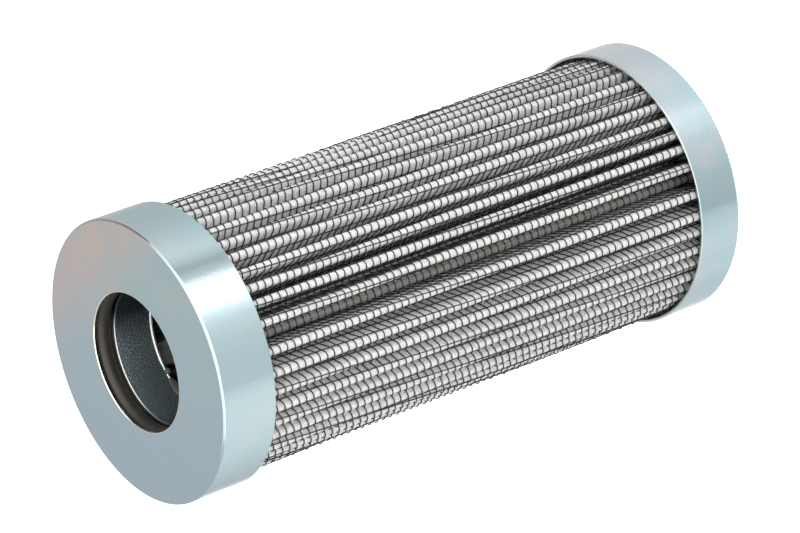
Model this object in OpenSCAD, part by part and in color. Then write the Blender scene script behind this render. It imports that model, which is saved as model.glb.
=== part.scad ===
// Pleated hydraulic filter element. It stands on its closed end cap, with the bore for the spigot on top.
// A folded pack of wire mesh, fleece and glass fibre is wrapped round a perforated centre tube.
// A pressed steel cap is bonded on at each end, and the open one traps a sealing ring against a collar.

/* [Element] */
// Overall length between the two end faces
element_length = 106; // [80:1:160]
// Outside diameter of both end caps
cap_d = 47; // [46:0.5:54]
// Diameter of the bore that slides over the spigot
bore_d = 23; // [20:0.5:24]

/* [End caps] */
// Thickness of the cap sheet
sheet_t = 0.5; // [0.4:0.05:0.8]
// Depth of the open cap's skirt from its face
open_skirt = 9.9; // [8:0.1:14]
// Depth of the closed cap's skirt from its face
closed_skirt = 8.4; // [6:0.1:14]
// Outside radius of the edge between a cap's face and its skirt
cap_edge_r = 0.4; // [0.2:0.05:1]
// Inside radius of the same edge
cap_corner_r = 0.15; // [0.05:0.05:0.6]
// Diameter of the centre pressed into the closed cap
dish_d = 16; // [10:0.5:17]
// Depth of that pressed centre
dish_depth = 1.2; // [0.5:0.1:2]
// Radius that rounds the mouth of the bore
mouth_r = 0.3; // [0.1:0.05:0.4]

/* [Seal and collar] */
// Thickness of the sealing ring's round section
seal_section = 3.2; // [2:0.1:3.5]
// How far the relaxed ring stands into the bore
seal_proud = 0.2; // [0.1:0.05:0.4]
// Clearance above and below the ring in its groove
seal_side_clear = 0.1; // [0.05:0.01:0.3]
// Clearance between the ring and the groove's outer wall
seal_back_clear = 0.05; // [0.02:0.01:0.3]
// Thickness of the collar's sheet
collar_t = 0.6; // [0.4:0.05:0.8]
// Inside radius of the collar's bends
collar_bend_r = 0.4; // [0.2:0.05:0.6]
// Depth of the collar's lower edge below the open face
collar_depth = 11.2; // [9:0.1:14]
// Radius of the neck's upper edge, inside the groove
neck_edge_r = 0.15; // [0.05:0.05:0.3]
// How far the neck's lower edge is turned in
neck_lip = 0.2; // [0.05:0.05:0.25]
// Height of that turned edge
neck_lip_height = 0.5; // [0.3:0.05:1]
// Width of the flange that is welded to the open cap
collar_flange = 2.6; // [1.5:0.1:4]

/* [Centre tube] */
// Thickness of the tube's wall
tube_t = 0.6; // [0.4:0.05:1]
// Clearance between the collar's neck and the tube
neck_clear = 0.3; // [0.1:0.05:0.6]
// Clearance between the tube's end and the collar
tube_end_clear = 0.05; // [0.02:0.01:0.2]
// Diameter of the holes in the tube
tube_hole_d = 6; // [3:0.25:6.5]
// Holes in each row
tube_holes_around = 8; // [6:1:9]
// Distance between two rows of holes
tube_row_pitch = 8; // [7:0.1:12]
// Depth of the first row's centres below the open face
tube_first_row = 12.5; // [11:0.1:20]
// Turn of the first row about the axis
tube_row_turn = 23; // [0:1:44]

/* [Pleated pack] */
// Thickness of the outer wire mesh over its crossed wires
outer_mesh_t = 0.25; // [0.15:0.01:0.35]
// Thickness of the fleece in front of the media
prefilter_t = 0.1; // [0.05:0.01:0.2]
// Thickness of the glass fibre media
media_t = 0.2; // [0.1:0.01:0.3]
// Thickness of the fleece behind the media
support_t = 0.1; // [0.05:0.01:0.2]
// Thickness of the inner wire mesh
inner_mesh_t = 0.15; // [0.1:0.01:0.25]
// Free play across one pleat at its root
pleat_play = 0.34; // [0.3:0.01:0.6]
// Clearance between the pleats' crests and the skirts
crest_clear = 0.6; // [0.2:0.05:0.8]
// Clearance between the pleats' roots and the centre tube
root_clear = 0.05; // [0.02:0.01:0.3]
// Angle by which the free pleats sway to one side
sway = 1.5; // [0:0.1:2]
// Distance between neighbouring lengthwise wires, measured along the folded cloth
wire_pitch = 2.8; // [2:0.1:3.4]
// Width of a wire
wire_w = 0.26; // [0.15:0.01:0.35]

/* [Side seam] */
// Angle about the axis at which the pack's ends meet
seam_angle = -98.9; // [-180:0.1:180]
// Angle between the two pleats beside the seam
seam_opening = 12.3; // [11:0.1:16]
// Height of the low pleat at the seam above the pleats' roots
seam_height = 4.95; // [4.6:0.05:5.5]
// Half of the room for adhesive inside the low pleat
seam_room = 0.3; // [0.2:0.01:0.35]
// Gap between the pack's two ends
seam_slit = 0.1; // [0.04:0.01:0.2]
// Depth of the adhesive strip inside the low pleat
seam_strip_depth = 2.1; // [1:0.1:2.4]
// Clearance round the adhesive strip
seam_strip_clear = 0.03; // [0.01:0.01:0.06]

/* [Potting] */
// Depth of the adhesive between the closed cap and the pack
closed_potting = 2.5; // [1:0.1:4]
// Depth of the adhesive between the collar and the pack
open_potting = 1.1; // [0.6:0.1:2.5]
// Clearance round the adhesive
potting_clear = 0.05; // [0.02:0.01:0.1]

/* [Hidden] */
$fn = 96;

// Steel parts
cap_r = cap_d / 2;
bore_r = bore_d / 2;
skirt_inner_r = cap_r - sheet_t;
dish_r = dish_d / 2;

// Groove, collar and ring. Depths run down from the open face.
groove_top = sheet_t;
groove_bottom = groove_top + seal_section + 2 * seal_side_clear;
seal_centre_r = bore_r - seal_proud + seal_section / 2;
groove_r = seal_centre_r + seal_section / 2 + seal_back_clear;
step_under = groove_bottom + collar_t;
neck_outer_r = bore_r + collar_t;
collar_flange_r = groove_r + collar_t + collar_flange;

// Centre tube
tube_inner_r = neck_outer_r + neck_clear;
tube_outer_r = tube_inner_r + tube_t;
tube_top = element_length - step_under - tube_end_clear;
tube_last_row = element_length - sheet_t - closed_potting - tube_hole_d;
tube_rows = floor((tube_last_row - tube_first_row) / tube_row_pitch) + 1;

// Folded pack. s is the height of a surface in the stack, from 0 on the clean side to stack_t outside.
s_support = inner_mesh_t;
s_media = s_support + support_t;
s_prefilter = s_media + media_t;
s_mesh = s_prefilter + prefilter_t;
stack_t = s_mesh + outer_mesh_t;
fold_gap = pleat_play / 4;
root_r = tube_outer_r + root_clear;
root_centre_r = root_r + stack_t + fold_gap;
crest_r = skirt_inner_r - crest_clear;
places = floor(2 * PI * root_centre_r / (2 * stack_t + pleat_play));
pleat_count = places - 1;
pleat_pitch = (360 - seam_opening) / (pleat_count - 1);
pack_bottom = sheet_t + closed_potting;
pack_top = element_length - step_under - open_potting;
crest_steps = 5;
root_steps = 3;
sway_reach = 1.5;
wire_base = outer_mesh_t * 0.4;

function polar(r, a) = [r * cos(a), r * sin(a)];
function wrap(a) = a - 360 * floor((a + 180) / 360);
function arc(c, r, a0, a1, n) = [for (k = [0:n]) c + polar(r, a0 + (a1 - a0) * k / n)];
function reversed(list) = [for (k = [len(list) - 1:-1:0]) list[k]];

// Crest 0 is the low pleat at the seam. The others stand evenly and sway over, less so beside the seam.
function seam_distance(i) = min(i, places - i);
function sway_at(i) = -sway * (1 - exp(-(seam_distance(i) - 1) / sway_reach));
function crest_angle(i) =
    i == 0 ? seam_angle : seam_angle + seam_opening / 2 + (i - 1) * pleat_pitch + sway_at(i);
function crest_gap(i) = i == 0 ? seam_room : fold_gap;
function crest_top(i) = i == 0 ? root_r + seam_height : crest_r;
function crest_centre(i) = polar(crest_top(i) - stack_t - crest_gap(i), crest_angle(i));
function root_angle(i) = seam_angle + (i + 0.5) * 360 / places;
function root_centre(i) = polar(root_centre_r, root_angle(i));

// Direction square to the flank of crest i, on its side 1 or -1. The flank is the line that touches both folds.
function flank_normal(i, side) =
    let (d = root_centre(side > 0 ? i : i - 1) - crest_centre(i),
         reach = crest_gap(i) + fold_gap + stack_t)
    atan2(d.y, d.x) - side * acos(reach / norm(d));
function crest_side(i, side) = crest_angle(i) + wrap(flank_normal(i, side) - crest_angle(i));
function crest_arc(i, s) =
    arc(crest_centre(i), crest_gap(i) + s, crest_side(i, -1), crest_side(i, 1), crest_steps);
function root_arc(i, s) =
    let (start = wrap(flank_normal(i, 1) + 180 - root_angle(i)),
         end = wrap(flank_normal((i + 1) % places, -1) + 180 - root_angle(i)) - 360)
    arc(root_centre(i), fold_gap + stack_t - s, root_angle(i) + start, root_angle(i) + end, root_steps);

// Angle from the seam to an end of the pack, at height s
function slit_angle(s) = asin(seam_slit / 2 / (seam_room + s));

// Line of the folded sheet at height s, from one end of the pack to the other
function fold_line(s) = concat(
    arc(crest_centre(0), seam_room + s, crest_angle(0) + slit_angle(s), crest_side(0, 1), crest_steps),
    root_arc(0, s),
    [for (i = [1:places - 1]) each concat(crest_arc(i, s), root_arc(i, s))],
    arc(crest_centre(0), seam_room + s, crest_side(0, -1), crest_angle(0) - slit_angle(s), crest_steps)
);

// The same line with a ridge for each lengthwise wire, one on the crest and the rest down the flanks
function ridge(p, along, out) = [
    p - along * wire_w / 2, p - along * wire_w / 2 + out, p + along * wire_w / 2 + out, p + along * wire_w / 2
];
function flank_ridges(i, side, s, rise) =
    let (n = crest_side(i, side),
         start = crest_centre(i) + polar(crest_gap(i) + s, n),
         along = polar(1, n + side * 90),
         root = root_centre(side > 0 ? i : i - 1) - polar(fold_gap + stack_t - s, n),
         run = norm(root - start),
         first = wire_pitch - (crest_gap(i) + s) * PI / 2,
         ridges = [for (t = [first:wire_pitch:run - wire_w]) each
             ridge(start + along * t, along, polar(rise, n))])
    side > 0 ? ridges : reversed(ridges);
function crest_ridge(i, s, rise) =
    let (c = crest_centre(i),
         r = crest_gap(i) + s,
         a = crest_angle(i),
         half = wire_w / 2 / r * 180 / PI)
    concat(arc(c, r, crest_side(i, -1), a - half, 2),
           [c + polar(r + rise, a - half), c + polar(r + rise, a + half)],
           arc(c, r, a + half, crest_side(i, 1), 2));
function wire_line(s, rise) = concat(
    arc(crest_centre(0), seam_room + s, crest_angle(0) + slit_angle(s), crest_side(0, 1), crest_steps),
    root_arc(0, s),
    [for (i = [1:places - 1]) each concat(
        flank_ridges(i, -1, s, rise), crest_ridge(i, s, rise), flank_ridges(i, 1, s, rise), root_arc(i, s))],
    arc(crest_centre(0), seam_room + s, crest_side(0, -1), crest_angle(0) - slit_angle(s), crest_steps)
);

// Quarter of a bent sheet in section
module bend(centre, inner_r, t, turn) {
    translate(centre) rotate(turn) difference() {
        intersection() {
            circle(inner_r + t);
            square(inner_r + t);
        }
        circle(inner_r);
    }
}

// Half section of a plain cup with its face at height 0, filled to radius r with its rim rounded
module cup_section(r, depth, rim_r) {
    square([r - rim_r, depth]);
    translate([0, rim_r]) square([r, depth - rim_r]);
    translate([r - rim_r, rim_r]) circle(rim_r);
}

// Sheet cap in section
module cap_section(skirt) {
    difference() {
        cup_section(cap_r, skirt, cap_edge_r);
        translate([0, sheet_t]) cup_section(skirt_inner_r, skirt, cap_corner_r);
    }
}

module closed_end_cap() {
    color("lightsteelblue") {
        rotate_extrude() difference() {
            cap_section(closed_skirt);
            translate([0, -sheet_t]) square([dish_r + sheet_t, 3 * sheet_t]);
        }
        dish_wall();
    }
}

// Centre of the closed cap, pressed inwards with a sloping wall
module dish_wall() {
    top = dish_depth + sheet_t;
    rotate_extrude() polygon([
        [0, dish_depth], [dish_r - dish_depth, dish_depth], [dish_r, 0], [dish_r + sheet_t, 0],
        [dish_r + sheet_t, sheet_t], [dish_r + sheet_t * 0.4, sheet_t],
        [dish_r + sheet_t * 0.4 - dish_depth, top], [0, top]
    ]);
}

module open_end_cap() {
    color("lightsteelblue")
        translate([0, 0, element_length]) mirror([0, 0, 1]) rotate_extrude() difference() {
            cap_section(open_skirt);
            translate([0, -1]) square([bore_r, sheet_t + 2]);
            difference() {
                translate([bore_r - 1, -1]) square([1 + mouth_r, 1 + mouth_r]);
                translate([bore_r + mouth_r, mouth_r]) circle(mouth_r);
            }
        }
}

// Pressed collar: a flange under the cap, the wall of the groove, a step under the ring, and the neck that
// hangs from it and guides the spigot
module seal_collar() {
    turn_r = collar_bend_r + collar_t;
    color("slategray")
        translate([0, 0, element_length]) mirror([0, 0, 1]) rotate_extrude() {
            translate([groove_r + turn_r, groove_top])
                square([collar_flange_r - groove_r - turn_r, collar_t]);
            bend([groove_r + turn_r, groove_top + turn_r], collar_bend_r, collar_t, 180);
            translate([groove_r, groove_top + turn_r])
                square([collar_t, groove_bottom - collar_bend_r - groove_top - turn_r]);
            bend([groove_r - collar_bend_r, groove_bottom - collar_bend_r], collar_bend_r, collar_t, 0);
            neck_section();
        }
}

// Step and neck in section. The neck's upper edge is nearly square, its lower edge is turned in a little.
module neck_section() {
    edge = [bore_r + neck_edge_r, groove_bottom + neck_edge_r];
    translate([edge.x, groove_bottom]) square([groove_r - collar_bend_r - edge.x, collar_t]);
    translate([bore_r, edge.y]) square([collar_t, collar_depth - edge.y]);
    translate(edge) circle(neck_edge_r);
    translate([bore_r - neck_lip, collar_depth - neck_lip_height])
        square([neck_lip + collar_t, neck_lip_height]);
}

module seal_ring() {
    color("saddlebrown")
        translate([0, 0, element_length - (groove_top + groove_bottom) / 2])
            rotate_extrude() translate([seal_centre_r, 0]) circle(seal_section / 2);
}

// Perforated tube, with each row of holes turned half a step from the last
module centre_tube() {
    color("dimgray") difference() {
        translate([0, 0, sheet_t]) cylinder(r = tube_outer_r, h = tube_top - sheet_t);
        translate([0, 0, sheet_t - 1]) cylinder(r = tube_inner_r, h = tube_top - sheet_t + 2);
        for (row = [0:tube_rows - 1]) for (k = [0:tube_holes_around - 1])
            translate([0, 0, element_length - tube_first_row - row * tube_row_pitch])
                rotate(tube_row_turn + (k + (row % 2) / 2) * 360 / tube_holes_around)
                    rotate([0, 90, 0]) cylinder(d = tube_hole_d, h = tube_outer_r + 1);
    }
}

// One sheet of the folded pack, between two heights in the stack
module folded_sheet(low, high) {
    translate([0, 0, pack_bottom]) linear_extrude(pack_top - pack_bottom)
        polygon(concat(fold_line(high), reversed(fold_line(low))));
}

module inner_mesh() {
    color("gray") folded_sheet(0, s_support);
}

module support_fleece() {
    color("whitesmoke") folded_sheet(s_support, s_media);
}

module filter_media() {
    color("white") folded_sheet(s_media, s_prefilter);
}

module prefilter_fleece() {
    color("snow") folded_sheet(s_prefilter, s_mesh);
}

// Outer cloth as one folded wall, with its lengthwise wires standing up as ridges
module outer_mesh() {
    color("darkgray") translate([0, 0, pack_bottom]) linear_extrude(pack_top - pack_bottom)
        polygon(concat(wire_line(s_mesh + wire_base, outer_mesh_t - wire_base), reversed(fold_line(s_mesh))));
}

// Adhesive inside the low pleat, where the pack's two ends meet
module seam_strip() {
    r = seam_room - seam_strip_clear;
    left = crest_side(0, -1);
    right = crest_side(0, 1);
    c = crest_centre(0);
    color("wheat") translate([0, 0, pack_bottom]) linear_extrude(pack_top - pack_bottom)
        polygon(concat(
            arc(c, r, left, right, crest_steps),
            [c + polar(r, right) + polar(seam_strip_depth, right + 90),
             c + polar(r, left) + polar(seam_strip_depth, left - 90)]
        ));
}

// Adhesive bed between the closed cap and the pack
module closed_end_potting() {
    inner_r = tube_outer_r + potting_clear;
    color("wheat") rotate_extrude() difference() {
        translate([0, sheet_t]) cup_section(skirt_inner_r - potting_clear, closed_potting, cap_corner_r);
        translate([-1, 0]) square([inner_r + 1, element_length]);
    }
}

// Adhesive bed between the open cap, the collar and the pack
module open_end_potting() {
    depth = step_under + open_potting;
    color("wheat") translate([0, 0, element_length]) mirror([0, 0, 1]) rotate_extrude() difference() {
        translate([0, sheet_t]) cup_section(skirt_inner_r - potting_clear, depth - sheet_t, cap_corner_r);
        square([collar_flange_r + potting_clear, groove_top + collar_t + potting_clear]);
        square([groove_r + collar_t + potting_clear, step_under + potting_clear]);
        square([tube_outer_r + potting_clear, depth + 1]);
        translate([groove_r + collar_t, groove_top + collar_t]) difference() {
            square(collar_bend_r);
            translate([collar_bend_r, collar_bend_r]) circle(collar_bend_r - potting_clear);
        }
    }
}

closed_end_cap();
closed_end_potting();
centre_tube();
inner_mesh();
support_fleece();
filter_media();
prefilter_fleece();
outer_mesh();
seam_strip();
open_end_potting();
seal_collar();
seal_ring();
open_end_cap();
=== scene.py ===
import bmesh
import bpy
import numpy as np
from mathutils import Matrix, Vector


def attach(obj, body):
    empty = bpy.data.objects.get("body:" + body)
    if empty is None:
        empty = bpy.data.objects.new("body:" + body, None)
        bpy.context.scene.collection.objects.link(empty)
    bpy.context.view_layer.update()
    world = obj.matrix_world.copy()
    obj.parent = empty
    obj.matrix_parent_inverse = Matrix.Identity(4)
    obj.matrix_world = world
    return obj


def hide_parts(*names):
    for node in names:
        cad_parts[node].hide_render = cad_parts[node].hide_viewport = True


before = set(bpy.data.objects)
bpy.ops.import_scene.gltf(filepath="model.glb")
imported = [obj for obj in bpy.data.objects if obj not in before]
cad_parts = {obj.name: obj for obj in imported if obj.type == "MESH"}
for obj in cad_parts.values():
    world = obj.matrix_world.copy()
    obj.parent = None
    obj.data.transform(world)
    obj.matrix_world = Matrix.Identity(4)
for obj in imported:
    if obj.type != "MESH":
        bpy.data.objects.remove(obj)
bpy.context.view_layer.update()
scene = bpy.context.scene

# Camera
# A long lens looks down at the open end and the side seam. It is rolled, so that the standing element lies across the
# picture. Its place is in metres, and its turn is given by three directions.
lens_at = (0, -0.58983, 0.43935)
picture_right = (-0.3436, -0.5143, -0.7858)
picture_up = (0.9391, -0.1880, -0.2876)
back_to_lens = (0, -0.8367, 0.5476)

camera = bpy.data.objects.new("camera", bpy.data.cameras.new("camera"))
camera.data.lens = 194.42
camera.data.sensor_width = 36
camera.data.clip_end = 20
camera_turn = Matrix((picture_right, picture_up, back_to_lens)).transposed()
camera.matrix_world = Matrix.Translation(lens_at) @ camera_turn.to_4x4()
scene.collection.objects.link(camera)
scene.camera = camera


# Studio
# A light tent of white cloth with one bright strip and a few grey flags round it, which draw the bands on the plated
# skirts. A broad softbox over the camera lights the pack down the pleats, and the tent fills it in dimly. The element
# stands on an opal light table, which keeps the ground white and free of shadow.
def linear(code):
    """Turns an sRGB hex code into linear red, green and blue, with full alpha."""
    part = np.array([int(code[k:k + 2], 16) for k in (1, 3, 5)]) / 255
    part = np.where(part <= 0.04045, part / 12.92, ((part + 0.055) / 1.055) ** 2.4)
    return (*part.tolist(), 1.0)


def add(tree, kind, sockets=None, links=None, **settings):
    """Adds a node with its settings, its socket values and the outputs that feed it."""
    node = tree.nodes.new(kind)
    for name, value in settings.items():
        setattr(node, name, value)
    for name, value in (sockets or {}).items():
        node.inputs[name].default_value = value
    for name, source in (links or {}).items():
        tree.links.new(source, node.inputs[name])
    return node


def started(name):
    """Starts a material. Gives it, its empty node tree and the place on the piece in metres, which patterns read. A
    noise's scale is therefore its number of lumps in a metre."""
    material = bpy.data.materials.new(name)
    material.use_nodes = True
    tree = material.node_tree
    tree.nodes.clear()
    return material, tree, add(tree, "ShaderNodeTexCoord").outputs["Object"]


scene.view_settings.view_transform = "Standard"
tent_bands = [  # direction round the element in degrees, brightness level with the open cap and with the closed one
    (-180, 0.96, 0.87), (-162, 1.01, 0.92), (-146, 0.99, 0.84), (-137, 0.88, 0.75), (-134, 0.78, 0.61),
    (-114, 0.78, 0.66), (-106, 0.81, 0.68), (-98, 0.84, 0.76), (-90, 0.91, 0.79), (-82, 1.02, 0.84),
    (-74, 1.35, 0.88), (-68, 2.1, 1.00), (-52, 2.1, 1.16), (-43, 0.86, 1.02), (-34, 0.56, 0.96), (-26, 0.82, 0.94),
    (-18, 0.93, 0.93), (-2, 0.80, 0.87), (14, 0.69, 0.81), (30, 0.64, 0.77), (46, 0.61, 0.77), (62, 0.58, 0.74),
    (78, 0.64, 0.78), (90, 0.90, 0.95), (102, 1.10, 1.10), (110, 0.75, 0.95), (118, 0.61, 0.74), (134, 0.70, 0.77),
    (150, 0.80, 0.79), (166, 0.92, 0.88)
]
tent_walls = [(-180, 0.72), (-120, 0.95), (-60, 0.95), (-15, 0.30), (25, 0.24), (60, 0.42), (90, 0.63), (130, 0.60)]
tent_roof, tent_fill = 1.6, 0.26  # brightness overhead, and the dim one that lights matt surfaces
tent = bpy.data.worlds.new("light_tent")
tent.use_nodes = True
scene.world = tent
tree = tent.node_tree
tree.nodes.clear()
towards = add(tree, "ShaderNodeTexCoord")
split = add(tree, "ShaderNodeSeparateXYZ", links={"Vector": towards.outputs["Generated"]})
turn = add(tree, "ShaderNodeMath", links={0: split.outputs["Y"], 1: split.outputs["X"]}, operation="ARCTAN2")
share = add(tree, "ShaderNodeMapRange", {"From Min": -np.pi, "From Max": np.pi}, {"Value": turn.outputs[0]})


def cloth(stops):
    """Ramp round the tent: brightness for each direction in degrees, closed to a ring."""
    ramp = add(tree, "ShaderNodeValToRGB", links={"Fac": share.outputs["Result"]})
    for end in ramp.color_ramp.elements:
        end.color = (stops[0][1], stops[0][1], stops[0][1], 1)
    for angle, light in stops[1:]:
        stop = ramp.color_ramp.elements.new((angle + 180) / 360)
        stop.color = (light, light, light, 1)
    return ramp


def above(low, high, under, over):
    """Blends from one cloth to the next between two heights of the direction: -1 is straight down, 1 straight up."""
    height = add(tree, "ShaderNodeMapRange", {"From Min": low, "From Max": high}, {"Value": split.outputs["Z"]},
                 interpolation_type="SMOOTHSTEP")
    return add(tree, "ShaderNodeMix", links={"Factor": height.outputs["Result"], "A": under, "B": over},
               data_type="RGBA").outputs["Result"]


beside_open = cloth([(angle, light) for angle, light, _ in tent_bands])
beside_closed = cloth([(angle, light) for angle, _, light in tent_bands])
walls = cloth(tent_walls)
roof = add(tree, "ShaderNodeRGB")
roof.outputs[0].default_value = (tent_roof, tent_roof * 0.95, tent_roof * 0.88, 1)
low = above(-0.585, -0.545, beside_closed.outputs["Color"], beside_open.outputs["Color"])
middle = above(-0.1, 0.15, low, walls.outputs["Color"])
sky = above(0.68, 0.85, middle, roof.outputs[0])
ray = add(tree, "ShaderNodeLightPath")
lighting = add(tree, "ShaderNodeMix", {"B": (tent_fill, tent_fill, tent_fill, 1)},
               {"Factor": ray.outputs["Is Diffuse Ray"], "A": sky}, data_type="RGBA")
glow = add(tree, "ShaderNodeBackground", links={"Color": lighting.outputs["Result"]})
add(tree, "ShaderNodeOutputWorld", links={"Surface": glow.outputs[0]})

# Opal acrylic lit from below is an even, nearly pure white, with clouds about 0.3 m wide that are hardly seen.
table, tree, place = started("opal_acrylic_sheet_lit_from_below")
cloud = add(tree, "ShaderNodeTexNoise", {"Scale": 3.0}, {"Vector": place})
tint = add(tree, "ShaderNodeMix", {"A": linear("#F4F5F6"), "B": linear("#FBFBFA")}, {"Factor": cloud.outputs["Fac"]},
           data_type="RGBA")
ray = add(tree, "ShaderNodeLightPath")
lit = add(tree, "ShaderNodeMapRange", {"To Min": 0.95, "To Max": 0.0}, {"Value": ray.outputs["Is Diffuse Ray"]})
opal = add(tree, "ShaderNodeBsdfPrincipled", {"Roughness": 0.6},
           {"Base Color": tint.outputs["Result"], "Emission Color": tint.outputs["Result"],
            "Emission Strength": lit.outputs["Result"]})
add(tree, "ShaderNodeOutputMaterial", links={"Surface": opal.outputs[0]})
floor_mesh = bpy.data.meshes.new("floor")
floor_mesh.from_pydata([(-4, -4, 0), (4, -4, 0), (4, 4, 0), (-4, 4, 0)], [], [(0, 1, 2, 3)])
floor_mesh.materials.append(table)
floor = bpy.data.objects.new("floor", floor_mesh)
floor.visible_glossy = False
scene.collection.objects.link(floor)

# Each softbox is aimed at the element's middle: its place and width are in metres, its power in watts.
for name, spot, size, power in [
    ("key_softbox", (0.08, -0.86, 0.62), 1.5, 9.4),
    ("left_softbox", (-0.9, -0.55, 0.5), 0.9, 2.4),
    ("right_softbox", (0.9, -0.45, 0.6), 0.9, 2.4),
]:
    lamp = bpy.data.lights.new(name, "AREA")
    lamp.shape = "SQUARE"
    lamp.size = size
    lamp.energy = power
    holder = bpy.data.objects.new(name, lamp)
    aim = Vector((0, 0, 0.05)) - Vector(spot)
    holder.matrix_world = Matrix.Translation(spot) @ aim.to_track_quat("-Z", "Y").to_matrix().to_4x4()
    scene.collection.objects.link(holder)


# End caps
# Deep drawn steel cups, zinc plated with a clear blue passivate. The open one is pierced for the spigot. The closed one
# has a pressed centre. Both are bonded over the ends of the pack. All sizes are in mm.
length = 106.0
cap_r, sheet, bore_r, bore_bend = 23.5, 0.5, 11.5, 0.18  # bore_bend is the bend of the bore's edge
open_skirt, closed_skirt = 9.9, 8.4
dish_r, dish_rim, dish_depth = 6.8, 8.0, 1.2  # pressed centre of the closed cap: its floor, rim and depth
tooth_count, tooth_depth, tooth_height, tooth_set, tooth_slant = 172, 0.2, 0.5, 0.3, 0.010


def rounded(corners, steps=6, hold=0.05):
    """Profile with its corners rounded. Each corner is (r, z, bend radius), and its arc touches both neighbouring runs.
    A point 'hold' beyond each end of an arc keeps smooth shading flat along the run."""
    points = np.array([c[:2] for c in corners], float)
    out = []
    for k, (r, z, bend) in enumerate(corners):
        here = points[k]
        if bend == 0:
            out.append(here[None])
            continue
        to_last = points[k - 1] - here
        to_next = points[(k + 1) % len(points)] - here
        to_last /= np.linalg.norm(to_last)
        to_next /= np.linalg.norm(to_next)
        half = np.arccos(np.clip(to_last @ to_next, -1, 1)) / 2
        run = bend / np.tan(half)
        middle = here + (to_last + to_next) / np.linalg.norm(to_last + to_next) * bend / np.sin(half)
        start, end = here + to_last * run, here + to_next * run
        first = np.arctan2(*(start - middle)[::-1])
        swing = (np.arctan2(*(end - middle)[::-1]) - first + np.pi) % (2 * np.pi) - np.pi
        a = first + swing * np.linspace(0, 1, steps + 1)
        arc = middle + bend * np.stack([np.cos(a), np.sin(a)], -1)
        out.append(np.concatenate([[start + to_last * hold], arc, [end + to_next * hold]]))
    return np.concatenate(out)


def surface(name, points, quads, material, slot, nodes):
    """Puts points in mm and quads into a smooth mesh, gives it its material and lets it stand for CAD nodes."""
    mesh = bpy.data.meshes.new(name)
    mesh.vertices.add(len(points))
    mesh.vertices.foreach_set("co", (np.asarray(points) * 0.001).astype(np.float32).ravel())
    mesh.loops.add(quads.size)
    mesh.loops.foreach_set("vertex_index", quads.astype(np.int32).ravel())
    mesh.polygons.add(len(quads))
    mesh.polygons.foreach_set("loop_start", np.arange(0, quads.size, 4, dtype=np.int32))
    mesh.polygons.foreach_set("use_smooth", np.ones(len(quads), bool))
    mesh.update(calc_edges=True)
    mesh.materials.append(material)
    piece = bpy.data.objects.new(name, mesh)
    scene.collection.objects.link(piece)
    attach(piece, "root")
    if nodes:
        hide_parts(*nodes)
    return piece


def sound(piece):
    """Merges the points that fall together at a pole, and turns all faces outwards."""
    work = bmesh.new()
    work.from_mesh(piece.data)
    bmesh.ops.remove_doubles(work, verts=work.verts, dist=1e-7)
    bmesh.ops.recalc_face_normals(work, faces=work.faces)
    work.to_mesh(piece.data)
    work.free()


def turned(name, profile, material, slot, nodes, around=256, closed=True, notch=None):
    """Surface of revolution: profile point (r, z) goes to (r cos a, r sin a, z) for each angle a round the axis.
    'closed' joins the profile's end to its start, and otherwise both lie on the axis.
    'notch' gives how far a point is set in towards the axis, from a, r and z."""
    a = np.linspace(0, 2 * np.pi, around, endpoint=False)[:, None]
    r, z = profile[:, 0][None], profile[:, 1][None]
    if notch:
        r = r - notch(a, r, z)
    points = np.stack([r * np.cos(a), r * np.sin(a), z + 0 * a], -1)
    n = len(profile)
    j, k = np.meshgrid(np.arange(around), np.arange(n if closed else n - 1), indexing="ij")
    j2, k2 = (j + 1) % around, (k + 1) % n
    quads = np.stack([j * n + k, j2 * n + k, j2 * n + k2, j * n + k2], -1).reshape(-1, 4)
    sound(surface(name, points.reshape(-1, 3), quads, material, slot, nodes))


# Zinc plate with a blue passivate is a bright, slightly soft metal. The film lies in clouds 13 mm wide, and it shifts
# to rose on one side of the open face and to lilac on the closed cap. The drawing die leaves faint rings 0.4 mm apart
# and a grain of 0.7 mm, the zinc crystals one of 0.2 mm. The sheared rims are pale, and the closed cap's is rough too.
# The bore's near-white edge is partly painted highlight.
plate, tree, place = started("zinc_plated_steel_blue_passivate")
split = add(tree, "ShaderNodeSeparateXYZ", links={"Vector": place})
flat = add(tree, "ShaderNodeCombineXYZ", links={"X": split.outputs["X"], "Y": split.outputs["Y"]})
radius = add(tree, "ShaderNodeVectorMath", links={0: flat.outputs[0]}, operation="LENGTH")
rings_at = add(tree, "ShaderNodeCombineXYZ", links={"X": radius.outputs["Value"], "Z": split.outputs["Z"]})
rings = add(tree, "ShaderNodeTexNoise", {"Scale": 2600.0, "Detail": 3.0}, {"Vector": rings_at.outputs[0]})
grain = add(tree, "ShaderNodeTexNoise", {"Scale": 1400.0, "Detail": 4.0}, {"Vector": place})

# Clouds of the film, with lilac ones towards the closed end.
film = add(tree, "ShaderNodeTexNoise", {"Scale": 75.0, "Detail": 4.0, "Roughness": 0.6, "Distortion": 0.6},
           {"Vector": place})
film_ramp = add(tree, "ShaderNodeValToRGB", links={"Fac": film.outputs["Fac"]})
film_stops = film_ramp.color_ramp.elements
film_stops[0].position, film_stops[0].color = 0.30, linear("#BEDCE4")
film_stops[1].position, film_stops[1].color = 0.72, linear("#D0DCDC")
film_stops.new(0.52).color = linear("#C5DBE0")
closed_end = add(tree, "ShaderNodeMapRange", {"From Min": 0.02, "From Max": 0.015}, {"Value": split.outputs["Z"]})
lilac_cloud = add(tree, "ShaderNodeMapRange", {"From Min": 0.42, "From Max": 0.65, "To Max": 0.55},
                  {"Value": film.outputs["Fac"]})
lilac = add(tree, "ShaderNodeMath", links={0: closed_end.outputs["Result"], 1: lilac_cloud.outputs["Result"]},
            operation="MULTIPLY")
aged = add(tree, "ShaderNodeMix", {"B": linear("#DADCE6")},
           {"Factor": lilac.outputs[0], "A": film_ramp.outputs["Color"]}, data_type="RGBA")

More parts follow.
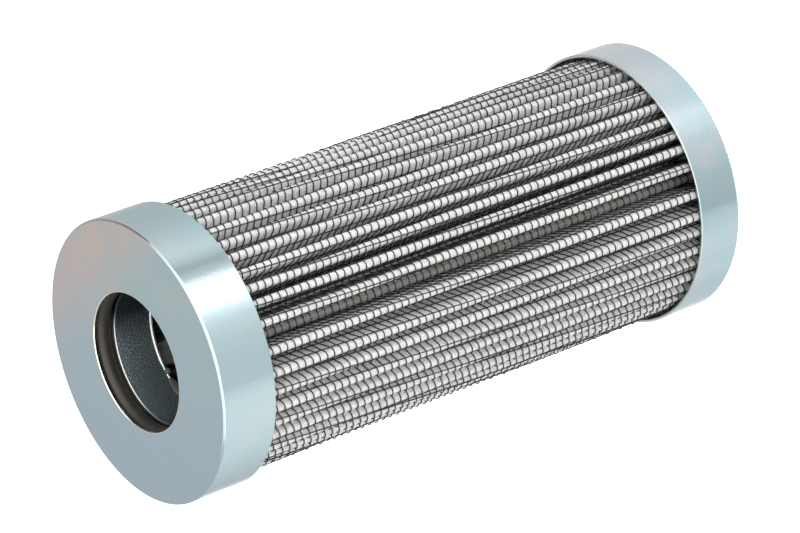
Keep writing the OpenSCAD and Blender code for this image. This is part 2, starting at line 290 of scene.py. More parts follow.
# A rose cloud on one side of the open face, and a thicker and bluer film on the other.
face = add(tree, "ShaderNodeMapRange", {"From Min": (length - sheet) / 1000, "From Max": (length - 0.1) / 1000},
           {"Value": split.outputs["Z"]})
rose_side = add(tree, "ShaderNodeVectorMath", {1: (0.95, 0.30, 0.0)}, {0: flat.outputs[0]}, operation="DOT_PRODUCT")
rose_at = add(tree, "ShaderNodeMapRange", {"From Min": 0.004, "From Max": 0.0185},
              {"Value": rose_side.outputs["Value"]}, interpolation_type="SMOOTHSTEP")
rose_cloud = add(tree, "ShaderNodeMapRange", {"From Min": 0.33, "From Max": 0.6, "To Min": 0.35},
                 {"Value": film.outputs["Fac"]})
rose_face = add(tree, "ShaderNodeMath", links={0: rose_at.outputs["Result"], 1: face.outputs["Result"]},
                operation="MULTIPLY")
rose = add(tree, "ShaderNodeMath", links={0: rose_face.outputs[0], 1: rose_cloud.outputs["Result"]},
           operation="MULTIPLY")
tinted = add(tree, "ShaderNodeMix", {"B": linear("#E9D6D0")},
             {"Factor": rose.outputs[0], "A": aged.outputs["Result"]}, data_type="RGBA")
thick_side = add(tree, "ShaderNodeVectorMath", {1: (-0.87, 0.50, 0.0)}, {0: flat.outputs[0]}, operation="DOT_PRODUCT")
thick_at = add(tree, "ShaderNodeMapRange", {"From Min": -0.016, "From Max": 0.02},
               {"Value": thick_side.outputs["Value"]})
thick = add(tree, "ShaderNodeMath", links={0: thick_at.outputs["Result"], 1: face.outputs["Result"]},
            operation="MULTIPLY")
filmed = add(tree, "ShaderNodeMix", {"B": linear("#C0D2DE")},
             {"Factor": thick.outputs[0], "A": tinted.outputs["Result"]}, data_type="RGBA")

# The pale edges: round the bore, where the near-white is partly painted highlight, and outside on the rim of the closed
# cap's skirt, in the lower half of the element.
mouth = add(tree, "ShaderNodeMath", {1: (bore_r + bore_bend) / 1000}, {0: radius.outputs["Value"]},
            operation="LESS_THAN")
mouth_edge = add(tree, "ShaderNodeMath", links={0: mouth.outputs[0], 1: face.outputs["Result"]}, operation="MULTIPLY")
edged = add(tree, "ShaderNodeMix", {"B": linear("#FFFBEC")},
            {"Factor": mouth_edge.outputs[0], "A": filmed.outputs["Result"]}, data_type="RGBA")
sheared = add(tree, "ShaderNodeMapRange",
              {"From Min": (closed_skirt - 0.12) / 1000, "From Max": (closed_skirt - 0.06) / 1000},
              {"Value": split.outputs["Z"]})
below = add(tree, "ShaderNodeMath", {1: 0.05}, {0: split.outputs["Z"]}, operation="LESS_THAN")
outside = add(tree, "ShaderNodeMapRange", {"From Min": (cap_r - 0.34) / 1000, "From Max": (cap_r - 0.26) / 1000},
              {"Value": radius.outputs["Value"]})
rim_part = add(tree, "ShaderNodeMath", links={0: sheared.outputs["Result"], 1: below.outputs[0]}, operation="MULTIPLY")
rim = add(tree, "ShaderNodeMath", links={0: rim_part.outputs[0], 1: outside.outputs["Result"]}, operation="MULTIPLY")
colour = add(tree, "ShaderNodeMix", {"B": linear("#D3DADB")},
             {"Factor": rim.outputs[0], "A": edged.outputs["Result"]}, data_type="RGBA")

# Dullness, and the relief of rings, grain and crystals.
dull = add(tree, "ShaderNodeMapRange", {"To Min": 0.04, "To Max": 0.12}, {"Value": grain.outputs["Fac"]})
rough = add(tree, "ShaderNodeMath", {1: 0.3}, {0: rim.outputs[0], 2: dull.outputs["Result"]},
            operation="MULTIPLY_ADD")
half_rings = add(tree, "ShaderNodeMath", {1: 0.5}, {0: rings.outputs["Fac"]}, operation="MULTIPLY")
drawn = add(tree, "ShaderNodeMath", links={0: half_rings.outputs[0], 1: grain.outputs["Fac"]}, operation="ADD")
crystals = add(tree, "ShaderNodeTexNoise", {"Scale": 5200.0, "Detail": 1.0}, {"Vector": place})
relief = add(tree, "ShaderNodeMath", {1: 0.8}, {0: crystals.outputs["Fac"], 2: drawn.outputs[0]},
             operation="MULTIPLY_ADD")
bump = add(tree, "ShaderNodeBump", {"Strength": 0.4, "Distance": 0.000018}, {"Height": relief.outputs[0]})
metal = add(tree, "ShaderNodeBsdfPrincipled", {"Metallic": 1.0, "Specular Tint": (0.97, 0.97, 0.96, 1.0)},
            {"Base Color": colour.outputs["Result"], "Roughness": rough.outputs[0],
             "Normal": bump.outputs["Normal"]})
add(tree, "ShaderNodeOutputMaterial", links={"Surface": metal.outputs[0]})

open_profile = rounded([
    (bore_r, 0, bore_bend), (cap_r, 0, 0.4), (cap_r, open_skirt, 0.14), (cap_r - sheet, open_skirt, 0.14),
    (cap_r - sheet, sheet, 0.15), (bore_r, sheet, 0.08)
])
open_profile[:, 1] = length - open_profile[:, 1]
turned("open_cap_skin", open_profile, plate, "plated_cap_steel", ["open_end_cap"])


def teeth(a, r, z):
    """Fine slanted serration pressed into the closed cap's lower edge: round the edge the depth runs as a sharpened
    cosine, and it fades out above the edge."""
    wave = 0.5 + 0.5 * np.cos(tooth_count * (a + tooth_slant * z / tooth_height))
    fade = np.clip(1.25 * (1 - z / tooth_height), 0, 1) * (r > cap_r - 0.6)
    return tooth_depth * wave ** 1.5 * fade


closed_profile = rounded([
    (0, dish_depth, 0), (dish_r, dish_depth, 0.4), (dish_rim, 0, 0.4), (cap_r - tooth_set, 0, 0.1),
    (cap_r, tooth_height, 0.06), (cap_r, closed_skirt, 0.14), (cap_r - sheet, closed_skirt, 0.14),
    (cap_r - sheet, sheet, 0.15), (dish_rim + 0.2, sheet, 0.3), (dish_r + 0.2, dish_depth + sheet, 0.3),
    (0, dish_depth + sheet, 0)
], steps=4)
# Four points along the bevel take the place of one, so that the teeth have something to bend.
edge = np.stack([np.linspace(cap_r - 0.28, cap_r - 0.02, 4), np.linspace(0.03, tooth_height - 0.03, 4)], -1)
at = int(np.argmax((closed_profile[:, 0] > cap_r - 0.29) & (closed_profile[:, 1] > 0.02)))
closed_profile = np.concatenate([closed_profile[:at], edge, closed_profile[at + 1:]])
turned("closed_cap_skin", closed_profile, plate, "plated_cap_steel", ["closed_end_cap"], around=tooth_count * 7,
       closed=False, notch=teeth)


# Seal and collar
# A round rubber ring lies behind the open cap's edge. A collar pressed from slightly thicker plated sheet holds it and
# guides the spigot with its neck, which carries the fine cross hatch of the sheet. Two of its edges carry painted
# highlights. Depths are counted from the open face.
collar_t, collar_bend = 0.6, 0.4  # sheet thickness and the bends at the flange and the groove
groove_bottom, groove_r = 3.9, 14.55
collar_depth, flange_r = 11.2, 17.75
neck_edge, lip, lip_height = 0.22, 0.2, 0.5  # bend at the neck's top, and how far and how high its foot is turned in
hatch_pitch = 0.52

# Plated steel with a rolled cross hatch is a field of lozenges 0.26 mm apart, half the pitch of the waves that cross
# there. The lozenges are painted near-white as part highlight, and the grooves between them near-black as painted
# shade. Away from one side the hatch is mixed towards a dark blue-grey as painted shade, and two edges carry painted
# highlights.
hatched, tree, place = started("cross_hatched_plated_steel")
split = add(tree, "ShaderNodeSeparateXYZ", links={"Vector": place})
turn = add(tree, "ShaderNodeMath", links={0: split.outputs["Y"], 1: split.outputs["X"]}, operation="ARCTAN2")

# The way round and the way up in mm. Waves along their sum and their difference cross in lozenges.
round_mm = add(tree, "ShaderNodeMath", {1: bore_r}, {0: turn.outputs[0]}, operation="MULTIPLY")
up_mm = add(tree, "ShaderNodeMath", {1: 1000.0}, {0: split.outputs["Z"]}, operation="MULTIPLY")
rise = add(tree, "ShaderNodeMath", links={0: round_mm.outputs[0], 1: up_mm.outputs[0]}, operation="ADD")
fall = add(tree, "ShaderNodeMath", links={0: round_mm.outputs[0], 1: up_mm.outputs[0]}, operation="SUBTRACT")
waves = []
for source in (rise, fall):
    turns = add(tree, "ShaderNodeMath", {1: 2 * np.pi / hatch_pitch}, {0: source.outputs[0]}, operation="MULTIPLY")
    waves.append(add(tree, "ShaderNodeMath", links={0: turns.outputs[0]}, operation="SINE"))
weave = add(tree, "ShaderNodeMath", links={0: waves[0].outputs[0], 1: waves[1].outputs[0]}, operation="MULTIPLY")
# On the hatch's real pattern, the lozenges' near-white is partly painted highlight and the grooves' near-black is
# painted shade.
spots = add(tree, "ShaderNodeMapRange", {"From Min": -0.5, "From Max": 0.35}, {"Value": weave.outputs[0]})
crisp = add(tree, "ShaderNodeMix", {"A": linear("#070D11"), "B": linear("#DEF0F8")},
            {"Factor": spots.outputs["Result"]}, data_type="RGBA")
flat = add(tree, "ShaderNodeCombineXYZ", links={"X": split.outputs["X"], "Y": split.outputs["Y"]})
# Painted shade: away from the +Y side, round the axis, the hatch is mixed towards dark blue-grey.
toward_unshaded_side = add(tree, "ShaderNodeVectorMath", {1: (-0.31, 0.95, 0.0)}, {0: flat.outputs[0]}, operation="DOT_PRODUCT")
unshaded_share = add(tree, "ShaderNodeMapRange", {"From Min": 0.0045, "From Max": 0.0105, "To Min": 0.15},
              {"Value": toward_unshaded_side.outputs["Value"]}, interpolation_type="SMOOTHSTEP")
hatch = add(tree, "ShaderNodeMix", {"A": linear("#1C2428")},
            {"Factor": unshaded_share.outputs["Result"], "B": crisp.outputs["Result"]}, data_type="RGBA")

# Painted highlights on two edges: the neck's top towards +Y, and its foot towards +X.
neck_top, neck_foot = length - groove_bottom, length - collar_depth + lip_height
near_edge = add(tree, "ShaderNodeMapRange", {"From Min": (neck_top - 0.26) / 1000, "From Max": (neck_top - 0.2) / 1000},
                {"Value": split.outputs["Z"]})
top_highlight_side = add(tree, "ShaderNodeMapRange", {"From Min": 0.0075, "From Max": 0.0108}, {"Value": split.outputs["Y"]},
                interpolation_type="SMOOTHSTEP")
front_edge = add(tree, "ShaderNodeMath", links={0: near_edge.outputs["Result"], 1: top_highlight_side.outputs["Result"]},
                 operation="MULTIPLY")
near_lip = add(tree, "ShaderNodeMapRange", {"From Min": (neck_foot + 0.06) / 1000, "From Max": neck_foot / 1000},
               {"Value": split.outputs["Z"]})
foot_highlight_side = add(tree, "ShaderNodeMapRange", {"From Min": -0.0019, "From Max": -0.0014}, {"Value": split.outputs["X"]})
rear_edge = add(tree, "ShaderNodeMath", links={0: near_lip.outputs["Result"], 1: foot_highlight_side.outputs["Result"]},
                operation="MULTIPLY")
bright = add(tree, "ShaderNodeMath", links={0: front_edge.outputs[0], 1: rear_edge.outputs[0]}, operation="MAXIMUM")
colour = add(tree, "ShaderNodeMix", {"B": linear("#DFE3E2")},
             {"Factor": bright.outputs[0], "A": hatch.outputs["Result"]}, data_type="RGBA")
bump = add(tree, "ShaderNodeBump", {"Strength": 0.55, "Distance": 0.00007}, {"Height": spots.outputs["Result"]})
metal = add(tree, "ShaderNodeBsdfPrincipled", {"Metallic": 1.0, "Roughness": 0.4},
            {"Base Color": colour.outputs["Result"], "Normal": bump.outputs["Normal"]})
add(tree, "ShaderNodeOutputMaterial", links={"Surface": metal.outputs[0]})

collar_profile = rounded([
    (flange_r, sheet, 0.1), (flange_r, sheet + collar_t, 0.1), (groove_r + collar_t, sheet + collar_t, collar_bend),
    (groove_r + collar_t, groove_bottom + collar_t, 1.0), (bore_r + collar_t, groove_bottom + collar_t, 0.1),
    (bore_r + collar_t, collar_depth, 0.12), (bore_r - lip, collar_depth, 0.06),
    (bore_r - lip, collar_depth - lip_height + lip, 0.05), (bore_r, collar_depth - lip_height, 0.05),
    (bore_r, groove_bottom, neck_edge),
    (groove_r, groove_bottom, collar_bend), (groove_r, sheet, 1.0)
])
collar_profile[:, 1] = length - collar_profile[:, 1]
turned("collar_skin", collar_profile, hatched, "collar_steel", ["seal_collar"])


def mottled(name, lumps, detail, dark, light, dull, strength, own):
    """Material whose colour, roughness and relief all follow one noise of so many lumps in a metre. 'dull' is the range
    of its roughness, 'strength' that of its relief of 0.02 mm, and 'own' holds the shader's other values."""
    material, tree, place = started(name)
    speck = add(tree, "ShaderNodeTexNoise", {"Scale": lumps, "Detail": detail}, {"Vector": place})
    colour = add(tree, "ShaderNodeMix", {"A": linear(dark), "B": linear(light)}, {"Factor": speck.outputs["Fac"]},
                 data_type="RGBA")
    rough = add(tree, "ShaderNodeMapRange", {"To Min": dull[0], "To Max": dull[1]}, {"Value": speck.outputs["Fac"]})
    bump = add(tree, "ShaderNodeBump", {"Strength": strength, "Distance": 0.00002}, {"Height": speck.outputs["Fac"]})
    shader = add(tree, "ShaderNodeBsdfPrincipled", own,
                 {"Base Color": colour.outputs["Result"], "Roughness": rough.outputs["Result"],
                  "Normal": bump.outputs["Normal"]})
    add(tree, "ShaderNodeOutputMaterial", links={"Surface": shader.outputs[0]})
    return material


# Moulded nitrile rubber is dark brown and satin, with a faint mottle of about 1 mm where oil lies on it.
rubber = mottled("moulded_nitrile_rubber", 900.0, 4.0, "#2F2B27", "#423D37", (0.35, 0.55), 0.3, {"IOR": 1.52})

# The ring is round in section. It stands 0.2 mm into the bore, where it seals on the spigot.
ring_r, ring_centre_r, ring_centre_depth = 1.6, 12.9, 2.2
a = np.linspace(0, 2 * np.pi, 40, endpoint=False)
ring_profile = np.stack([ring_centre_r + ring_r * np.cos(a), length - ring_centre_depth + ring_r * np.sin(a)], -1)
turned("ring_skin", ring_profile, rubber, "seal_rubber", ["seal_ring"])


# Centre tube
# A tube rolled from perforated sheet and zinc plated stands inside the pack and keeps it from collapsing. Its
# construction shape is used as it is.
def dress(node, material):
    """Gives a construction node its material."""
    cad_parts[node].data.materials.clear()
    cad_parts[node].data.materials.append(material)


# Plain zinc plate is a pale grey metal, duller than the caps, in patches of about 2 mm.
tube_steel = mottled("perforated_zinc_plated_tube_steel", 500.0, 5.0, "#C6CCC4", "#ECF0E8", (0.3, 0.5), 0.2,
                     {"Metallic": 0.93})
dress("centre_tube", tube_steel)


# Folded layers
# Four sheets are folded together: wire cloth on the clean side, a support fleece, the glass fibre media and the white
# fleece that shows outside. The folds are set by hand round the tube, so they don't stand quite evenly.
places, seam, opening = 45, np.radians(-98.9), np.radians(12.3)  # folds, the seam's direction, free room round it
stack, fold_gap, seam_room, seam_slit = 0.8, 0.085, 0.16, 0.1  # thickness of all sheets, then room in the folds
root_r, seam_height = 13.05, 4.5  # the pack's inner radius, and the height of the low pleat over it
crest_at_open, crest_at_closed = 22.25, 22.6
pack_bottom, pack_top = 3.0, 100.4
sway, sway_fade = np.radians(1.5), 1.5  # sway of the free pleats, and how many pleats from the seam it takes to grow
roll_angle, roll_height = np.radians(0.22), 0.06  # wander of a crest along the element, sideways and outwards

# Each pleat leans by its own angle. Those beside the seam, which face the camera, are listed one by one.
hand = np.random.default_rng(11)
lean = np.radians(hand.normal(0, 0.35, places))
lean[2:10] = np.radians([1.2, 0.45, -0.2, 0.1, -0.3, 0.0, 0.5, 0.3])
lean[38:44] = np.radians([-0.9, 0.1, -0.2, -0.7, -0.5, -1.0])
lean[[0, 1, 44]] = 0
roll = hand.normal(0, 1, (places, 3))
roll[0] = 0


def polar(r, a):
    """Point at radius r and angle a, as x and y."""
    return np.stack([r * np.cos(a), r * np.sin(a)], -1)


def near(a, b):
    """Angle a, moved by whole turns to lie within half a turn of b."""
    return b + (a - b + np.pi) % (2 * np.pi) - np.pi


def fold_line(s, z, crest_steps, root_steps, flank=()):
    """Line of the folded sheet at height s in the stack, for each height z along the element.
    Each pleat bends round a crest circle and a root circle, and its flanks are the lines that touch both circles.
    Between the ends, which the adhesive holds, a crest wanders sideways by two sine waves and outwards by half of one.
    'flank' holds extra points along each flank, as shares of it counted from the crest.
    Returns points and outward normals, each as (heights, points along the line, 2), the length run along the line up
    to each point, the crest that each point belongs to, and the place of each crest's middle in the line."""
    i = np.arange(places)
    from_seam = np.minimum(i, places - i)
    pitch = (2 * np.pi - opening) / (places - 2)
    angle = seam + opening / 2 + (i - 1) * pitch - sway * (1 - np.exp(-(from_seam - 1) / sway_fade)) + lean
    angle[0] = seam
    along = ((z - pack_bottom) / (pack_top - pack_bottom))[:, None]
    held = np.sin(np.pi * along)
    angle = angle + roll_angle * held * (
        roll[:, 0] * np.sin(2 * np.pi * along + roll[:, 1]) + roll[:, 2] * np.sin(4 * np.pi * along + roll[:, 0]))
    top = crest_at_closed + (crest_at_open - crest_at_closed) * along + roll_height * roll[:, 1] * held
    top[:, 0] = root_r + seam_height
    gap = np.where(i == 0, seam_room, fold_gap)
    crest = polar(top - stack - gap, angle)
    root_angle = seam + (i + 0.5) * 2 * np.pi / places
    root = polar(root_r + stack + fold_gap, root_angle)
    reach = gap + fold_gap + stack

    def square_to_flank(to, turn):
        """Direction square to the line that crosses over between the crest's circle and the root's: the direction from
        one centre to the other, turned by the angle whose cosine is the two radii over the centres' distance."""
        d = to - crest
        return near(np.arctan2(d[..., 1], d[..., 0]) - turn * np.arccos(reach / np.hypot(d[..., 0], d[..., 1])), angle)

    after, before = square_to_flank(root, 1), square_to_flank(np.roll(root, 1, axis=0), -1)
    start = near(after + np.pi, root_angle)
    end = near(np.roll(before, -1, axis=1) + np.pi, root_angle) - 2 * np.pi

    def bow(middle, r, a0, a1, steps, out):
        """Arc of radius r round a middle from angle a0 to a1, with normals away from it, or towards it for out = -1."""
        a = a0[..., None] + (a1 - a0)[..., None] * np.linspace(0, 1, steps + 1)
        way = polar(1.0, a)
        return middle[..., None, :] + r[..., None, None] * way, out * way

    crest_p, crest_n = bow(crest, np.broadcast_to(gap + s, angle.shape), before, after, crest_steps, 1)
    root_p, root_n = bow(np.broadcast_to(root, crest.shape), np.full(angle.shape, fold_gap + stack - s), start, end,
                         root_steps, -1)
    share = np.array(flank)[:, None]
    next_p, next_n = np.roll(crest_p[:, :, 0], -1, axis=1), np.roll(crest_n[:, :, 0], -1, axis=1)
    down_p = crest_p[:, :, -1:] + (root_p[:, :, :1] - crest_p[:, :, -1:]) * share
    up_p = next_p[:, :, None] + (root_p[:, :, -1:] - next_p[:, :, None]) * share[::-1]
    down_n = np.broadcast_to(crest_n[:, :, -1:], down_p.shape)
    up_n = np.broadcast_to(next_n[:, :, None], up_p.shape)
    slit = np.arcsin(seam_slit / 2 / (seam_room + s))
    first_p, first_n = bow(crest[:, 0], np.full(len(z), seam_room + s), angle[:, 0] + slit, after[:, 0], crest_steps, 1)
    last_p, last_n = bow(crest[:, 0], np.full(len(z), seam_room + s), before[:, 0], angle[:, 0] - slit, crest_steps, 1)

    def joined(first, crests, down, roots, up, last):
        """Strings the parts together: half the seam's crest, its flanks and root, every whole pleat, the other half."""
        whole = np.concatenate([crests[:, 1:], down[:, 1:], roots[:, 1:], up[:, 1:]], axis=2).reshape(len(z), -1, 2)
        return np.concatenate([first, down[:, 0], roots[:, 0], up[:, 0], whole, last], axis=1)

    points = joined(first_p, crest_p, down_p, root_p, up_p, last_p)
    normals = joined(first_n, crest_n, down_n, root_n, up_n, last_n)
    block = crest_steps + root_steps + 2 + 2 * len(flank)
    count = points.shape[1]
    own = np.minimum((np.arange(count) + len(flank) + root_steps - root_steps // 2) // block, places)
    middle = np.arange(places + 1) * block + crest_steps // 2
    middle[[0, -1]] = 0, count - 1
    step = np.linalg.norm(np.diff(points, axis=1), axis=-1)
    run = np.concatenate([np.zeros((len(z), 1)), np.cumsum(step, axis=1)], axis=1)
    return points, normals, run, own, middle


def raised(line, z):
    """Adds the height z to each row of a line."""
    return np.concatenate([line, np.broadcast_to(z[:, None, None], line.shape[:2] + (1,))], -1)


def wall(outer, inner):
    """Closed wall between two faces, each given as rows of points. A row of the outer face and the inner one's row
    backwards make a loop. Each loop is joined to the next, and the first and last are closed from face to face."""
    loop = np.concatenate([outer, inner[:, ::-1]], axis=1)
    rows, n = loop.shape[:2]
    j, k = np.meshgrid(np.arange(rows - 1), np.arange(n), indexing="ij")
    k2 = (k + 1) % n
    walls = np.stack([j * n + k, j * n + k2, (j + 1) * n + k2, (j + 1) * n + k], -1).reshape(-1, 4)
    k = np.arange(n // 2 - 1)
    rim = np.stack([k, n - 1 - k, n - 2 - k, k + 1], -1)
    lid = rim[:, ::-1] + (rows - 1) * n
    return loop.reshape(-1, 3), np.concatenate([walls, rim, lid])


def folded_layer(name, low, high, material, slot, node, crest_steps=6, root_steps=3):
    """Sheet of the pack: the closed wall between the fold lines at heights low and high in the stack."""
    z = np.linspace(pack_bottom, pack_top, 22)
    outer, inner = (raised(fold_line(s, z, crest_steps, root_steps)[0], z) for s in (high, low))
    surface(name, *wall(outer, inner), material, slot, [node])


# Spunbond polyester fleece is matt white, felted from fine fibres that leave a soft cloudy mottle of about 1 mm. Its
# fibres are drawn about three times too coarse, so that they show.
fleece, tree, place = started("spunbond_polyester_fleece")
cloudy = add(tree, "ShaderNodeTexNoise", {"Scale": 900.0, "Detail": 5.0, "Roughness": 0.65}, {"Vector": place})
stretch = add(tree, "ShaderNodeMapping", {"Scale": (1.0, 1.0, 0.35), "Rotation": (0.4, 0.3, 0.0)}, {"Vector": place})
fibres = add(tree, "ShaderNodeTexNoise", {"Scale": 4300.0, "Detail": 2.0}, {"Vector": stretch.outputs["Vector"]})
lift = add(tree, "ShaderNodeMath", {1: 0.6}, {0: cloudy.outputs["Fac"], 2: fibres.outputs["Fac"]},
           operation="MULTIPLY_ADD")
ramp = add(tree, "ShaderNodeValToRGB", links={"Fac": lift.outputs[0]})
shade, light = ramp.color_ramp.elements
shade.position, shade.color = 0.62, linear("#D8D8D5")
light.position, light.color = 0.98, linear("#FFFFFC")
bump = add(tree, "ShaderNodeBump", {"Strength": 0.35, "Distance": 0.00006}, {"Height": lift.outputs[0]})
felt = add(tree, "ShaderNodeBsdfPrincipled",
           {"Roughness": 0.95, "Specular IOR Level": 0.2, "Subsurface Weight": 0.35,
            "Subsurface Radius": (1.0, 1.0, 1.0), "Subsurface Scale": 0.0004},
           {"Base Color": ramp.outputs["Color"], "Normal": bump.outputs["Normal"]})
add(tree, "ShaderNodeOutputMaterial", links={"Surface": felt.outputs[0]})

# The glass fibre sheet is hidden between the two fleeces and as white as they are, so it has their finish.
folded_layer("fleece_skin", 0.45, 0.55, fleece, "fleece", "prefilter_fleece", 8, 3)
folded_layer("media_layer", 0.25, 0.45, fleece, "glass_fibre", "filter_media")
folded_layer("support_layer", 0.15, 0.25, fleece, "fleece", "support_fleece")


# Wire cloth
# Plain weave of coated steel wire over the white fleece. The wires across the pleats run over and under the lengthwise
# ones, which drift sideways from the open end to the closed one because the cloth was laid on skewed.
wire_d, cross_pitch, long_pitch = 0.2, 1.4, 2.8
cloth_mid, weave_rise = 0.71, 0.075  # the cloth's middle in the stack, and how far a cross wire bends out of it
cross_start, wire_margin = 0.7, 0.3  # from the pack's bottom to the first cross wire, and bare ends elsewhere
drift_slope, drift_end = 0.052, 110.0  # sideways drift over depth, and the depth in mm where it would cease

# Where a lengthwise wire lies on each pleat, in mm from the crest's middle. Those facing the camera are listed one by
# one.
laid = hand.uniform(-1.4, 1.4, places)
laid[1:9] = 1.5, 0.15, 1.6, 0.4, 1.75, 1.2, -0.1, 1.2
laid[34:36] = 1.65, 0.85
laid[39] += 0.5
laid[40:45] = 1.6, -0.05, 1.3, 0.1, -0.35


def drift(z):
    """Sideways drift of the lengthwise wires in mm, at depth u from the open end: its slope falls with u cubed, to
    nothing at the drift's end."""
    u = length - z
    return -drift_slope * (u - u ** 4 / (4 * drift_end ** 3))


def wires(name, paths, out, sides=4):
    """Wires along many paths: each point gets a ring of points in the plane of its outward direction and the
    direction square to it and to the path. Both ends are closed."""
    run = np.gradient(paths, axis=1)
    run /= np.linalg.norm(run, axis=-1, keepdims=True)
    side = np.cross(out, run)
    side /= np.linalg.norm(side, axis=-1, keepdims=True)
    up = np.cross(run, side)
    a = (np.arange(sides) + 0.5) * 2 * np.pi / sides
    ring = paths[:, :, None] + wire_d / 2 * (
        np.cos(a)[:, None] * up[:, :, None] + np.sin(a)[:, None] * side[:, :, None])
    count, steps = paths.shape[:2]
    w, j, k = np.meshgrid(np.arange(count), np.arange(steps - 1), np.arange(sides), indexing="ij")
    k2 = (k + 1) % sides
    base = (w * steps + j) * sides
    walls = np.stack([base + k, base + k2, base + sides + k2, base + sides + k], -1).reshape(-1, 4)
    first = np.arange(count)[:, None] * steps * sides + np.arange(sides)[::-1]
    last = first[:, ::-1] + (steps - 1) * sides
    surface(name, ring.reshape(-1, 3), np.concatenate([walls, first, last]), coated, "coated_wire", ["outer_mesh"])


# Epoxy coated wire is dark grey and satin, and the coat varies a little over about 0.7 mm.
coated = mottled("epoxy_coated_steel_wire", 1500.0, 3.0, "#25262A", "#434448", (0.35, 0.55), 0.2,
                 {"IOR": 1.5, "Specular IOR Level": 0.3})

# The cloth on the clean side is hidden, so it is a plain sheet with the wire's finish.
folded_layer("inner_cloth", 0.0, 0.15, coated, "coated_wire", "inner_mesh")

# A cross wire follows the fold line and waves over and under the lengthwise ones, every second wire the other way. Down
# in the roots, where the folds touch, it runs straight. The wires are shared out over four pieces of moderate size.
cross_z = np.arange(pack_bottom + cross_start, pack_top - wire_margin, cross_pitch)
path, out, run, own, middle = fold_line(cloth_mid, cross_z, 6, 3, (0.14, 0.32, 0.56))
beside = run - run[:, middle[own]] - laid[own % places] - drift(cross_z)[:, None]
over = np.cos(np.pi * beside / long_pitch + np.pi * np.arange(len(cross_z))[:, None])
free = np.clip(np.linalg.norm(path, axis=-1) - root_r - stack, 0, 1)
path = raised(path + out * (weave_rise * over * free)[..., None], cross_z)
out = raised(out, np.zeros(len(cross_z)))
for k, rows in enumerate(np.array_split(np.arange(len(cross_z)), 4)):
    wires("cross_wires_%d" % (k + 1), path[rows], out[rows])

# A lengthwise wire stays at its distance from the crest's middle, measured along the fold line, but for the drift. Each
# pleat has those that stay within half of its own way at both ends, and the low pleat at the seam has three.
half_way = 8.8
long_z = np.linspace(pack_bottom + wire_margin, pack_top - wire_margin, 26)
path, out, run, _, middle = fold_line(cloth_mid, long_z, 12, 6)
from_first = np.arange(-4, 5)
pleat = np.repeat(np.arange(1, places), len(from_first))
start = laid[pleat] + np.tile(from_first, places - 1) * long_pitch
kept = (start + drift(long_z).min() > -half_way) & (start < half_way)
pleat = np.concatenate([pleat[kept], [0, 0, places]])
start = np.concatenate([start[kept], [5.1, 7.9, -0.5]])
paths, outs = [], []
for row in range(len(long_z)):
    at = run[row, middle[pleat]] + start + drift(long_z[row])
    paths.append(np.stack([np.interp(at, run[row], path[row, :, axis]) for axis in (0, 1)], -1))
    outs.append(np.stack([np.interp(at, run[row], out[row, :, axis]) for axis in (0, 1)], -1))
paths = raised(np.stack(paths), long_z).swapaxes(0, 1)
outs = raised(np.stack(outs), np.zeros(len(long_z))).swapaxes(0, 1)
wires("lengthwise_wires", paths, outs)


# Adhesive
# Cream epoxy beds hold the pack in both caps, and a strip of it closes the side seam inside the low pleat. Some of it
# has soaked into the fleece over the seam, and some has crept out at the foot of the collar's neck.

# Cured cream epoxy is satin and slightly uneven, in clouds of about 3 mm.
glue, tree, place = started("cured_cream_epoxy")
cloud = add(tree, "ShaderNodeTexNoise", {"Scale": 300.0, "Detail": 4.0}, {"Vector": place})
colour = add(tree, "ShaderNodeMix", {"A": linear("#B9A884"), "B": linear("#DACBA8")}, {"Factor": cloud.outputs["Fac"]},
             data_type="RGBA")
bump = add(tree, "ShaderNodeBump", {"Strength": 0.3, "Distance": 0.0001}, {"Height": cloud.outputs["Fac"]})
resin = add(tree, "ShaderNodeBsdfPrincipled", {"Roughness": 0.35, "IOR": 1.5},
            {"Base Color": colour.outputs["Result"], "Normal": bump.outputs["Normal"]})
add(tree, "ShaderNodeOutputMaterial", links={"Surface": resin.outputs[0]})

for node in ("closed_end_potting", "open_end_potting"):
    dress(node, glue)

# Fleece soaked with resin is grey and slightly glossy, with a mottle of about 1 mm. The resin that has crept out near
# the axis, inside 12.5 mm from it, is darker.
soaked, tree, place = started("resin_soaked_fleece")
cloud = add(tree, "ShaderNodeTexNoise", {"Scale": 800.0, "Detail": 5.0}, {"Vector": place})
clean = add(tree, "ShaderNodeMix", {"A": linear("#807F7B"), "B": linear("#B4B3AE")}, {"Factor": cloud.outputs["Fac"]},
            data_type="RGBA")
split = add(tree, "ShaderNodeSeparateXYZ", links={"Vector": place})
flat = add(tree, "ShaderNodeCombineXYZ", links={"X": split.outputs["X"], "Y": split.outputs["Y"]})
radius = add(tree, "ShaderNodeVectorMath", links={0: flat.outputs[0]}, operation="LENGTH")
inside = add(tree, "ShaderNodeMath", {1: 0.0125}, {0: radius.outputs["Value"]}, operation="LESS_THAN")
near_axis_colour = add(tree, "ShaderNodeMix", {"A": linear("#55524B"), "B": linear("#85837A")}, {"Factor": cloud.outputs["Fac"]},
            data_type="RGBA")
colour = add(tree, "ShaderNodeMix", links={"Factor": inside.outputs[0], "A": clean.outputs["Result"],
                                           "B": near_axis_colour.outputs["Result"]}, data_type="RGBA")
bump = add(tree, "ShaderNodeBump", {"Strength": 0.4, "Distance": 0.00006}, {"Height": cloud.outputs["Fac"]})
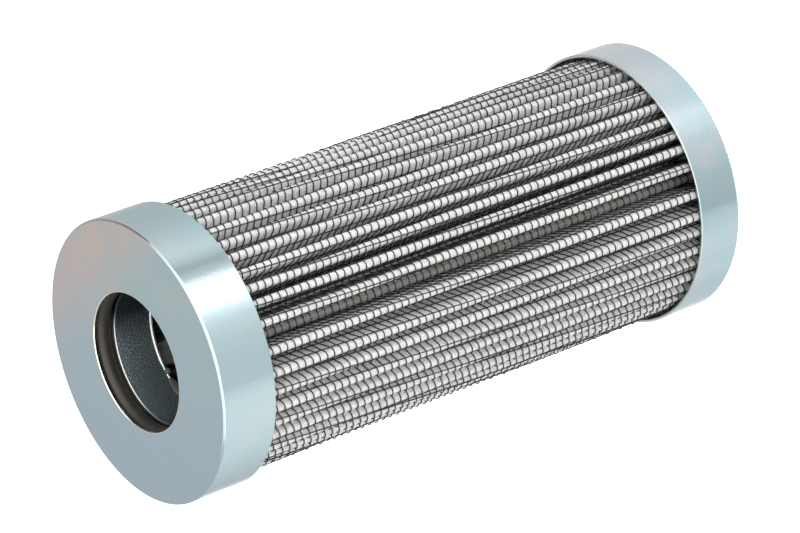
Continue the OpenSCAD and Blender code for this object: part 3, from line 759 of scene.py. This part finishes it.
resin = add(tree, "ShaderNodeBsdfPrincipled", {"Roughness": 0.5, "IOR": 1.5},
            {"Base Color": colour.outputs["Result"], "Normal": bump.outputs["Normal"]})
add(tree, "ShaderNodeOutputMaterial", links={"Surface": resin.outputs[0]})


def soaked_band(low, high, reach):
    """Band over the low pleat's crest: in each section it is an arc round the crest's centre, between the radii low and
    high and 'reach' degrees to both sides, and its two edges wander along the element by a product of two sines."""
    z = np.linspace(pack_bottom + 0.4, pack_top - 0.4, 120)
    wander = np.radians(reach) + 0.16 * np.sin(z * 0.9) * np.sin(z * 0.23 + 1.0)
    share = np.linspace(-1, 1, 13)
    a = seam + share * wander[:, None]
    middle = polar(root_r + seam_height - stack - seam_room, np.array(seam))
    return wall(raised(middle + polar(high, a), z), raised(middle + polar(low, a), z))


def drop(name, degrees, r, z, sizes, rows=10, n=18):
    """Drop of resin as an ellipsoid: for each angle u from pole to pole and v round it, the point stands off the
    middle by (sin u cos v, sin u sin v, cos u) times the sizes outward from the axis, round it and along it."""
    u = np.linspace(0, np.pi, rows + 1)[:, None]
    v = np.linspace(0, 2 * np.pi, n, endpoint=False)[None]
    outward, sideways, along = sizes
    away = r + outward * np.sin(u) * np.cos(v)
    turn = np.radians(degrees) + sideways * np.sin(u) * np.sin(v) / r
    points = np.stack([away * np.cos(turn), away * np.sin(turn), z + along * np.cos(u) + 0 * v], -1).reshape(-1, 3)
    j, k = np.meshgrid(np.arange(rows), np.arange(n), indexing="ij")
    k2 = (k + 1) % n
    quads = np.stack([j * n + k, (j + 1) * n + k, (j + 1) * n + k2, j * n + k2], -1).reshape(-1, 4)
    sound(surface(name, points, quads, soaked, "potting_adhesive", []))


# At the foot of the neck hang a round drop and, beside it, a flat smear.
drop("resin_drop", 105.5, 11.1, length - 11.1, (0.5, 0.55, 0.55))
drop("resin_smear", 123, 11.35, length - 11.0, (0.22, 2.4, 0.75))
surface("seam_resin", *soaked_band(low=0.03, high=seam_room + 0.6, reach=50), soaked, "potting_adhesive",
        ["seam_strip"])
